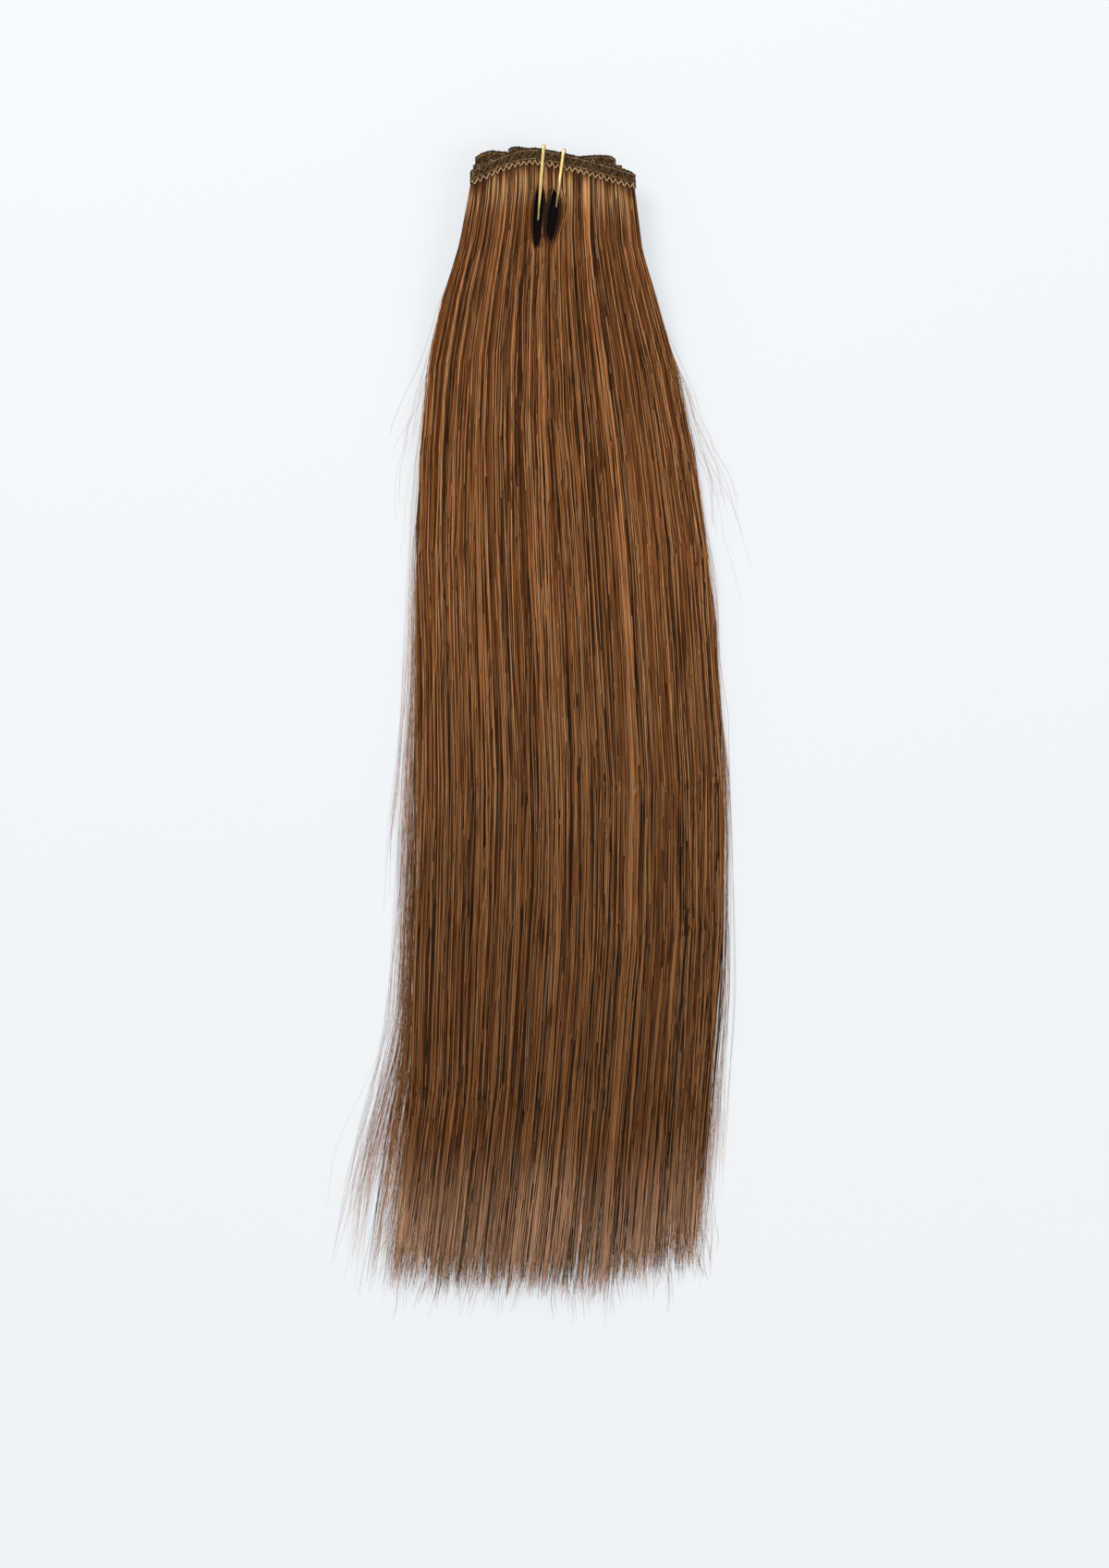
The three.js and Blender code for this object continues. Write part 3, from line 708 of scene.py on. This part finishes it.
def coreMesh(layer, guide):
    # the hair's inside: a closed slab a little smaller than the hair, coloured near black as painted shade
    # among the strands
    us, vs, xyz, under = guide
    last = int(np.searchsorted(vs, core["end"]))
    top = xyz[:last + 1].copy()
    low = top.copy()
    thick = top[:, :, 2] - under[:last + 1]
    middle = top[:, :1, 0] * 0.5 + top[:, -1:, 0] * 0.5
    # it never reaches past the front hair, so that the wisps at the back stay sparse
    ahead = guides["front"][2]
    for grid in (top, low):
        grid[:, :, 0] += (middle - grid[:, :, 0]) * core["inset"]
        lefts = np.interp(-grid[:, 0, 1], -ahead[:, 0, 1], ahead[:, 0, 0]) + core["edge"]
        lefts += core["leftIn"] * np.clip((vs[:last + 1] - 0.3) / 0.5, 0, 1)
        rights = np.interp(-grid[:, -1, 1], -ahead[:, -1, 1], ahead[:, -1, 0]) - core["edge"]
        rights -= core["rightIn"] * np.clip((vs[:last + 1] - 0.6) / 0.25, 0, 1)
        grid[:, :, 0] = np.clip(grid[:, :, 0], lefts[:, None], rights[:, None])
    top[:, :, 2] -= thick * core["sink"]
    low[:, :, 2] = under[:last + 1] + thick * core["rise"]
    pinch = np.clip((core["end"] - vs[:last + 1]) / 0.1, 0.15, 1)[:, None]
    mean = (top[:, :, 2] + low[:, :, 2]) / 2
    top[:, :, 2] = mean + (top[:, :, 2] - mean) * pinch
    low[:, :, 2] = mean + (low[:, :, 2] - mean) * pinch
    inHollow = hollowShare(top[:, :, 0], top[:, :, 1])
    top[:, :, 2] -= inHollow * (top[:, :, 2] - low[:, :, 2]) * core["hollowSink"]
    rows, columns = last, len(us) - 1
    count = (rows + 1) * (columns + 1)
    faces = gridFaces(rows, columns) + gridFaces(rows, columns, count, True)
    rim = list(range(columns + 1))
    rim += [j * (columns + 1) + columns for j in range(1, rows + 1)]
    rim += [rows * (columns + 1) + i for i in range(columns - 1, -1, -1)]
    rim += [j * (columns + 1) for j in range(rows - 1, 0, -1)]
    for a, b in zip(rim, rim[1:] + rim[:1]):
        faces.append((a, b, b + count, a + count))
    points = np.concatenate([top.reshape(-1, 3), low.reshape(-1, 3)])
    made = addPiece(layer + "Core", points, faces, hairCoreShade)
    outward(made.data)
    bakeSpots(made.data, 0.9, 1.0, 300)
    # painted shade: strong in the pin's hollows, fading away from the band
    shade = np.maximum(inHollow * 2, np.exp(-vs[:last + 1] / 0.03)[:, None] * 0.8).ravel()
    paintedShade = made.data.attributes.new("paintedShade", "FLOAT", "POINT")
    paintedShade.data.foreach_set("value", np.tile(np.clip(shade, 0, 1), 2))
    return made

plainStrand = {
    "Steps": 15, "Sides": 3, "Radius": 0.19e-3, "Tip radius": 0.25, "Pack": 2.0, "Near steps": 0.001,
    "Near reach": 0.0, "From": 0.0, "To": 1.0, "Start": 0.0, "Start spread": 0.0, "End": 1.0,
    "End spread": 0.04, "Jag": 0.021, "Short right": 0.024, "Depth from": 0.0, "Depth to": 0.5,
    "Locks": 190.0, "Gather": 0.55, "Bunches": 34.0, "Bunch": 0.85, "Left in": 0.0, "Soft edge": 0.05,
    "Waver": 0.03, "Wander": 0.03, "Cross": 0.03,
    "Relief": 0.6e-3, "Stray": 0.0, "Stray power": 1.0, "Lift": 0.0, "Drop": 0.0, "Settle": 0.0,
    "Thin left": 0.0, "Tufts": 80.0, "Tuft pull": 0.38, "Map rows": 3.0, "Pale": 0.0,
    "Material": copperHair,
}
# loose hairs of a layer: how many, where across, where they leave, how far out they go
loose = {
    "back": [
        {"Strands": 90, "To": 0.07, "Start": 0.38, "Start spread": 0.3, "Stray": 0.013,
         "Stray power": 1.7, "Drop": 0.009, "Radius": 0.06e-3},
        {"Strands": 34, "To": 0.03, "Start": 0.4, "Start spread": 0.3, "Stray": 0.024,
         "Stray power": 1.3, "Drop": 0.008},
        {"Strands": 26, "To": 0.02, "Start": 0.05, "Start spread": 0.4, "End": 0.7, "Stray": 0.009,
         "Stray power": 1.3},
        {"Strands": 34, "From": 0.985, "Start": 0.1, "Start spread": 0.6, "Stray": 0.008,
         "Stray power": 1.4},
    ],
    "third": [
        {"Strands": 90, "To": 0.04, "Start": 0.1, "Start spread": 0.5, "Stray": 0.0045},
        {"Strands": 90, "From": 0.96, "Start": 0.1, "Start spread": 0.5, "Stray": 0.0035},
        {"Strands": 460, "Start": 0.86, "Start spread": 0.08, "End spread": 0.035, "Stray": 0.010,
         "Drop": 0.014, "Steps": 7, "Radius": 0.075e-3},
    ],
    "front": [
        {"Strands": 16, "From": 0.98, "Start": 0.06, "Start spread": 0.12, "End": 0.42, "Stray": 0.022,
         "Stray power": 1.3},
        {"Strands": 14, "To": 0.02, "Start": 0.06, "Start spread": 0.1, "End": 0.35, "Stray": 0.014,
         "Stray power": 1.4},
        {"Strands": 50, "Start": 0.08, "Start spread": 0.6, "End spread": 0.3, "Stray": 0.006,
         "Drop": 0.004, "Lift": 1.5e-3, "Depth to": 0.02, "Radius": 0.09e-3, "Pale": 0.5, "Settle": 0.0},
    ],
}
looseShape = {
    "Radius": 0.045e-3, "Tip radius": 0.5, "Pack": 1.0, "End spread": 0.12, "Gather": 0.0, "Bunch": 0.0,
    "Cross": 0.04, "Soft edge": 0.0, "Settle": 0.5, "Tuft pull": 0.0, "Map rows": 1.0, "Depth to": 0.2,
    "Pale": 0.3,
}
strands = strandTree()

def hairRuns(layer):
    # every run's values, each with its own strip of the bake's map
    own = dict(hair[layer])
    thick = own.pop("runs")
    thin = loose.get(layer, [])
    values = [dict(plainStrand, **dict(own, **run)) for run in thick]
    values += [dict(plainStrand, **dict(looseShape, **run)) for run in thin]
    for k, run in enumerate(values):
        if k < len(thick):
            low, high, place, count = 0, 0.8, k, len(thick)
        else:
            low, high, place, count = 0.8, 0.9, k - len(thick), len(thin)
        run["Map low"] = low + (high - low) * place / count
        run["Map high"] = low + (high - low) * (place + 1) / count
        run["Lock seed"] = own["Seed"]
        run["Seed"] = own["Seed"] + 100 * k
    return values

for layer in bands:
    sheet = guideMesh(layer, guides[layer])
    grown = [grow(layer + "Fibres", sheet.copy(), strands, values) for values in hairRuns(layer)]
    body = join(grown + [coreMesh(layer, guides[layer])], layer + "_hair_strands")
    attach(body, "root")
    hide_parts(layer + "_hair")
    print(layer, "hair", triangles(body), "triangles")

# Bands: the folded strip, then its rows of thread
bandShape = {
    "margin": 0.2,        # how far threads may hang below the strip, as a share of its height
    "wall": 1.0e-3,
    "stations": 141,
    "cornerDrop": 0.16,   # share of the height that the upper corners lose
    "cornerRun": 0.035,   # over this share of the strip's length
    "quilt": 0.12e-3,     # the strip's ripples
}
threadRows = [
    # a loose mesh of zigzag thread over the whole strip
    {"Rows": 5, "Points": 620, "Zigs": 52.0, "Swing": 0.13, "From": 0.15, "To": 0.9, "Jitter": 0.07,
     "Radius": 0.22e-3, "Tone": 0.6, "Tone spread": 1.2},
    # two cords
    {"Rows": 2, "Points": 200, "Zigs": 12.0, "Swing": 0.008, "From": 0.26, "To": 0.8, "Jitter": 0.02,
     "Radius": 0.22e-3, "Tone": 0.8, "Tone spread": 0.6},
    # upright loops
    {"Rows": 1, "Points": 700, "Zigs": 78.0, "Swing": 0.3, "From": 0.5, "To": 0.5, "Jitter": 0.05,
     "Radius": 0.15e-3, "Tone": 0.45, "Tone spread": 1.0},
    # the row of bigger zigzags along the lower edge
    {"Rows": 1, "Points": 420, "Zigs": 58.0, "Swing": 0.17, "From": 0.0, "To": 0.0, "Jitter": 0.06,
     "Radius": 0.31e-3, "Tone": 1.0, "Tone spread": 0.4},
]

def threadTree():
    examples = {"Seed": 0, "Map low": 0.0, "Map high": 1.0, "Material": None}
    net, given = newTree("bandThreads", dict(threadRows[0], **examples))
    curves, row, along = sticks(net, given["Rows"], given["Points"])
    seed = given["Seed"]
    base = net.blend(given["From"], given["To"], row / net.maths("MAXIMUM", given["Rows"] - 1, 1))
    phase = net.random(seed + 1, row, 0.0, 2.0)
    rough = net.noise(net.vector(along * 90, row * 7.3 + seed, 0), 1, 1) - 0.5
    pace = along * given["Zigs"] * 2 + phase + rough * given["Jitter"] * 14
    swing = net.maths("PINGPONG", pace, 1.0) - 0.5
    tremble = net.noise(net.vector(along * 140, row * 3.1 + seed, 5), 1, 1) - 0.5
    v = base + swing * 2 * given["Swing"] + tremble * given["Jitter"] * 2
    margin = bandShape["margin"]
    level = net.clamp((v + margin) / (1 + margin), 0.004, 0.996)
    spot = net.vector(net.blend(0.004, 0.996, along), level, 0)
    surface = given["Geometry"]
    place = net.sample(surface, net.node("GeometryNodeInputPosition"), "FLOAT_VECTOR", spot)
    up = net.sample(surface, net.node("GeometryNodeInputNormal"), "FLOAT_VECTOR", spot)
    x, y, z = net.parts(place)
    nx, ny, nz = net.parts(up)
    lift = given["Radius"] * (0.3 + net.maths("SINE", pace * math.pi) * 0.6)
    spots = net.vector(x + nx * lift, y + ny * lift, z + nz * lift)
    placed = net.node("GeometryNodeSetPosition", sockets={"Geometry": curves, "Position": spots})
    patch = net.noise(net.vector(along * 60, row * 5 + seed, 2), 1, 0) - 0.5
    mixed = given["Tone"] + patch * given["Tone spread"]
    named = net.store(net.store(placed, "tone", mixed), "runs", along)
    named = net.store(named, "strand", row)
    tube, turned = tubeOn(net, named, 4, given["Radius"])
    share = (net.attribute("strand") + 0.1 + turned * 0.9) / given["Rows"]
    mapV = net.blend(given["Map low"], given["Map high"], share)
    return closeTree(net, tube, net.vector(net.attribute("runs"), mapV, 0), given["Material"])

def bandMaterial():
    material, net, shader = newMaterial("bandWeave")
    weave = net.grain((1700, 900, 900), 2, 0.6)
    colour = net.ramp([
        (0.3, (0.003, 0.0015, 0.0007)), (0.5, (0.012, 0.006, 0.002)), (0.72, (0.042, 0.021, 0.007)),
    ], weave)
    bump = net.node("ShaderNodeBump", sockets={"Strength": 0.8, "Distance": 3e-4, "Height": weave})
    net.fill(shader, {
        "Base Color": colour, "Roughness": 0.8, "Specular IOR Level": 0.2, "Normal": bump,
    })
    return material

def threadMaterial():
    material, net, shader = newMaterial("sewingThread")
    twist = net.grain((4200, 2600, 2600))
    colour = net.ramp([
        (0.0, (0.008, 0.004, 0.0015)), (0.4, (0.036, 0.018, 0.005)), (0.75, (0.150, 0.076, 0.022)),
        (1.0, (0.44, 0.26, 0.13)),
    ], net.clamp(net.read("tone") + (twist - 0.5) * 0.6, 0, 1))
    net.fill(shader, {"Base Color": colour, "Roughness": 0.6, "Specular IOR Level": 0.25})
    return material

bandWeave = bandMaterial()
sewingThread = threadMaterial()
threads = threadTree()

def cornerDrop(run):
    # the strip's upper corners are rounded at its ends and at the fold
    near = min(run, 1 - run, abs(run - 0.5))
    return bandShape["cornerDrop"] * max(0, 1 - near / bandShape["cornerRun"]) ** 2

def bandStrip(layer):
    band = bands[layer]
    wall = bandShape["wall"]
    rounding = wall / 2 / band.height
    rings = []
    for run in np.linspace(0, 1, bandShape["stations"]):
        top = 1 - cornerDrop(run)
        ring = []
        for k in range(7):
            share = k / 6
            puff = bandShape["quilt"] * math.sin(run * band.length * 2600 + k * 2)
            ring.append((rounding + (top - 2 * rounding) * share, puff - 1e-4))
        for turn in (45, 90, 135):
            a = math.radians(turn)
            ring.append((top - rounding + math.sin(a) * rounding, (math.cos(a) - 1) * wall / 2))
        ring += [(top - rounding, -wall), (rounding, -wall)]
        for turn in (135, 90, 45):
            a = math.radians(turn)
            ring.append((rounding - math.sin(a) * rounding, (math.cos(a) - 1) * wall / 2))
        rings.append([band.point(run, across, out) for across, out in ring])
    strip = sweep(layer + "Strip", rings, bandWeave)
    bakeSpots(strip.data, 0.5, 1.0, 80)
    return strip

def threadSheet(layer):
    band = bands[layer]
    runs = np.linspace(0, 1, bandShape["stations"])
    margin = bandShape["margin"]
    levels = np.linspace(0, 1, 7)
    points = []
    for run in runs:
        for v in levels:
            across = (v * (1 + margin) - margin) * (1 - cornerDrop(run))
            points.append(tuple(band.point(run, across, 0)))
    mesh = bpy.data.meshes.new(layer + "Sheet")
    mesh.from_pydata(points, [], gridFaces(len(runs) - 1, len(levels) - 1))
    if mesh.polygons[10].normal.z < 0:
        mesh.flip_normals()
    layMap(mesh, [(run, v) for run in runs for v in levels])
    return mesh

for k, layer in enumerate(bands):
    pieces = [bandStrip(layer)]
    for j, rows in enumerate(threadRows):
        values = dict(rows, Seed=50 * k + 7 * j, Material=sewingThread)
        values["Map low"] = 0.5 * j / len(threadRows)
        values["Map high"] = 0.5 * (j + 1) / len(threadRows)
        pieces.append(grow(layer + "Thread", threadSheet(layer), threads, values))
    body = join(pieces, layer + "_band_sewn")
    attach(body, "root")
    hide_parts(layer + "_band")
    print(layer, "band", triangles(body), "triangles")

# The hair pin: one gilt wire from tip to tip round the stack
pinShape = {
    "radius": 0.8e-3,
    "tip": 0.3e-3,
    "taper": 20e-3,     # over which a leg narrows to its tip
    "dive": 3.8e-3,     # how deep the tips go
    "entry": 0.42,      # share of a leg, from its tip, that dives
    "corner": 2.2e-3,   # the bend over the top edge
    "back": 15e-3,      # how far down the legs run behind the stack
    "sides": 16,
    "groove": 0.16,     # share of the radius
}

def smoothPath(points, steps):
    # Catmull-Rom through the points
    knots = [points[0]] + points + [points[-1]]
    path = []
    for i in range(1, len(knots) - 2):
        a, b, c, d = knots[i - 1:i + 3]
        for k in range(steps):
            t = k / steps
            path.append(0.5 * (2 * b + (c - a) * t + (2 * a - 5 * b + 4 * c - d) * t ** 2
                               + (3 * b - a - 3 * c + d) * t ** 3))
    return path + [points[-1]]

def pinPath():
    spots = [v.co.copy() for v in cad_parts["hair_pin"].data.vertices]
    middleX = (pinLow.x + pinHigh.x) / 2
    middleZ = (pinLow.z + pinHigh.z) / 2
    radius = pinShape["radius"]
    front, back = pinHigh.z - radius, pinLow.z + radius
    legs = []
    for side in (-1, 1):
        mine = [p for p in spots if (p.x - middleX) * side > 0]
        crest = max(p.y for p in mine)
        upper = [p for p in mine if p.y > crest - 1e-3]
        x = sum(p.x for p in upper) / len(upper)
        ahead = [p for p in mine if p.z > middleZ]
        tipY = min(p.y for p in ahead)
        ends = [p for p in ahead if p.y < tipY + 1e-3]
        tip = sum(ends, Vector()) / len(ends)

        def spot(y, depth):
            share = (stackTop - y) / (stackTop - tip.y)
            return Vector((x + (tip.x - x) * share, y, front - depth))

        entry = tip.y + (stackTop - tip.y) * pinShape["entry"]
        leg = [tip]
        for s, d in ((0.34, 0.72), (0.67, 0.26), (1, 0)):
            leg.append(spot(tip.y + (entry - tip.y) * s, pinShape["dive"] * d))
        leg += [spot(entry + (crest - entry) * s, 0) for s in (0.3, 0.6, 0.86)]
        overTop = [
            (crest - radius * 1.25, front - radius * 0.35),
            (crest - radius, front - pinShape["corner"]),
            (crest - radius, back + pinShape["corner"]),
            (crest - radius * 1.25, back + radius * 0.35),
            (crest - 4e-3, back),
            (stackTop - pinShape["back"], back),
        ]
        leg += [Vector((x, y, z)) for y, z in overTop]
        legs.append(leg)
    left, right = legs
    half = (right[-1].x - left[-1].x) / 2
    centre = (left[-1] + right[-1]) / 2
    turns = np.linspace(0, math.pi, 9)[1:-1]
    bend = [centre - Vector((math.cos(a), math.sin(a), 0)) * half for a in turns]
    return smoothPath(left + bend + right[::-1], 5)

def addPin():
    path = pinPath()
    lengths = [0.0]
    for a, b in zip(path, path[1:]):
        lengths.append(lengths[-1] + (b - a).length)
    side = Vector((1, 0, 0))
    rings = []
    for i, point in enumerate(path):
        way = (path[min(i + 1, len(path) - 1)] - path[max(i - 1, 0)]).normalized()
        side = (side - way * side.dot(way)).normalized()
        up = way.cross(side)
        near = min(lengths[i], lengths[-1] - lengths[i]) / pinShape["taper"]
        share = min(near, 1)
        radius = pinShape["tip"] + (pinShape["radius"] - pinShape["tip"]) * share * share * (3 - 2 * share)
        ring = []
        for k in range(pinShape["sides"]):
            turn = 2 * math.pi * k / pinShape["sides"]
            dent = 1 - pinShape["groove"] * max(0, abs(math.sin(turn)) - 0.7) / 0.3
            ring.append(point + side * math.cos(turn) * radius + up * math.sin(turn) * radius * dent)
        rings.append(ring)
    return sweep("hair_pin_wire", rings, giltMaterial())

def giltMaterial():
    material, net, shader = newMaterial("giltWire")
    scratch = net.grain((2600, 160, 900), 2, 0.6)
    colour = net.colour((0.50, 0.30, 0.08, 1), (0.90, 0.68, 0.30, 1), scratch)
    net.fill(shader, {"Base Color": colour, "Roughness": 0.22 + scratch * 0.22, "Metallic": 0.95})
    return material

pin = addPin()
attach(pin, "root")
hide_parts("hair_pin")
print("pin done")

# Snap clips behind the back weft
def clipMaterial():
    material, net, shader = newMaterial("clipEnamel")
    place = net.node("ShaderNodeTexCoord", output="Object")
    speck = net.noise(place, 900, 2, 0.6)
    colour = net.colour((0.012, 0.008, 0.006, 1), (0.055, 0.036, 0.024, 1), speck)
    net.fill(shader, {"Base Color": colour, "Roughness": 0.28 + speck * 0.2, "Coat Weight": 0.3})
    return material

clipEnamel = clipMaterial()

def addClip(node):
    work = bmesh.new()
    work.from_mesh(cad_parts[node].data)
    bmesh.ops.remove_doubles(work, verts=work.verts, dist=1e-5)
    bmesh.ops.dissolve_limit(work, angle_limit=0.02, verts=work.verts, edges=work.edges)
    sharp = [e for e in work.edges if e.is_manifold and e.calc_face_angle() > 0.6]
    bmesh.ops.bevel(work, geom=sharp, offset=0.16e-3, segments=2, affect="EDGES", clamp_overlap=True)
    bmesh.ops.recalc_face_normals(work, faces=work.faces)
    mesh = bpy.data.meshes.new(node + "_snap")
    work.to_mesh(mesh)
    work.free()
    mesh.materials.clear()
    mesh.materials.append(clipEnamel)
    return newObject(node + "_snap", mesh)

for node in ("left_clip", "right_clip"):
    clip = addClip(node)
    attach(clip, "root")
    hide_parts(node)
print("clips done")

# Floor and light
def addFloor():
    material, net, shader = newMaterial("paleFloor")
    net.fill(shader, {
        "Base Color": (0.26, 0.263, 0.268, 1), "Emission Color": (0.92, 0.96, 1.0, 1),
        "Emission Strength": 0.6, "Roughness": 0.8, "Specular IOR Level": 0.1,
    })
    size = 6.0
    corners = [(x, y, -2e-4) for x, y in ((-size, -size), (size, -size), (size, size), (-size, size))]
    floor = addPiece("floor", corners, [(0, 1, 2, 3)], material)

def addLight(name, place, aim, size, power, colour):
    lamp = bpy.data.lights.new(name, "AREA")
    lamp.shape = "DISK"
    lamp.size = size
    lamp.energy = power
    lamp.color = colour
    holder = newObject(name, lamp)
    holder.location = place
    holder.rotation_euler = (Vector(aim) - Vector(place)).to_track_quat("-Z", "Y").to_euler()

addFloor()
addLight("key", (-0.9, 1.3, 1.9), (0, 0, 0), 1.1, 33, (1.0, 0.985, 0.96))
addLight("fill", (1.5, -0.5, 1.9), (0, 0, 0), 1.6, 17, (0.95, 0.98, 1.0))
addLight("crown", (-0.1, 1.2, 0.7), (0, 0.22, 0), 0.4, 4, (1.0, 0.97, 0.93))
world = bpy.data.worlds.new("world")
world.use_nodes = True
sky = world.node_tree.nodes["Background"].inputs
sky["Color"].default_value = (0.89, 0.945, 1.0, 1)
sky["Strength"].default_value = 0.66
bpy.context.scene.world = world
bpy.context.scene.view_settings.view_transform = "Standard"
